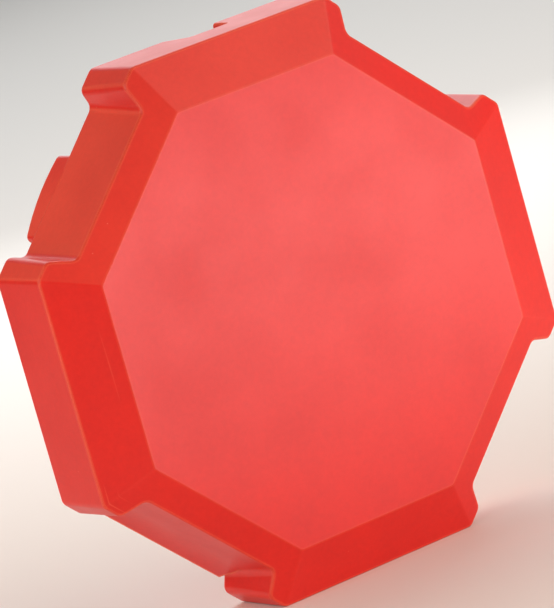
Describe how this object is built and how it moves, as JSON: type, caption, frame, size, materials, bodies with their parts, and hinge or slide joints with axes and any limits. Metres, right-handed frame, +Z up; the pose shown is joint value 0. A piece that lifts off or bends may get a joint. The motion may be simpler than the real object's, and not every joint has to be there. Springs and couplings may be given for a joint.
{
  "type": "water filled barrier",
  "caption": "Hollow octagonal water-ballast barrier block standing on one side, with recessed corners, rear hand grip, screwed filler cap and drain plug",
  "frame": {"origin": "bottom centre of the overall box, on the ground the block stands on", "axes": "+X to the right seen from the front face, +Y out of the rear, +Z up; the octagonal face looks along -Y"},
  "size_m": [0.8, 0.2156, 0.8],
  "materials": {
    "tank_plastic": "satin self-coloured red rotomoulded polyethylene",
    "fitting_plastic": "black moulded polypropylene, fine satin",
    "seal_rubber": "black EPDM rubber",
    "screw_steel": "plain stainless steel"
  },
  "bodies": {
    "tank": {"tank_shell": "tank_plastic", "filler_gasket": "seal_rubber", "filler_ring": "fitting_plastic", "ring_screws": "screw_steel", "drain_insert": "fitting_plastic"},
    "cap_washer": {"cap_seal": "seal_rubber"},
    "cap": {"filler_cap": "fitting_plastic"},
    "plug_washer": {"drain_seal": "seal_rubber"},
    "plug": {"drain_plug": "fitting_plastic"}
  },
  "joints": [
    {"name": "cap_lift", "type": "slide", "parent": "tank", "child": "cap_washer", "axis": [0, 1, 0], "range_m": [0, 0.018]},
    {"name": "cap_turn", "type": "hinge", "parent": "cap_washer", "child": "cap", "pos_m": [-0.22981, 0.08222, 0.60152], "axis": [0, 1, 0], "range_deg": [0, 540]},
    {"name": "drain_lift", "type": "slide", "parent": "tank", "child": "plug_washer", "axis": [0, 1, 0], "range_m": [0, 0.02]},
    {"name": "drain_turn", "type": "hinge", "parent": "plug_washer", "child": "plug", "pos_m": [0, 0.05522, 0.062], "axis": [0, 1, 0], "range_deg": [0, 1440]}
  ],
  "couplings": [
    {"joint": "cap_lift", "follows": "cap_turn", "m_per_rad": 0.0019099},
    {"joint": "drain_lift", "follows": "drain_turn", "m_per_rad": 0.00079577}
  ]
}
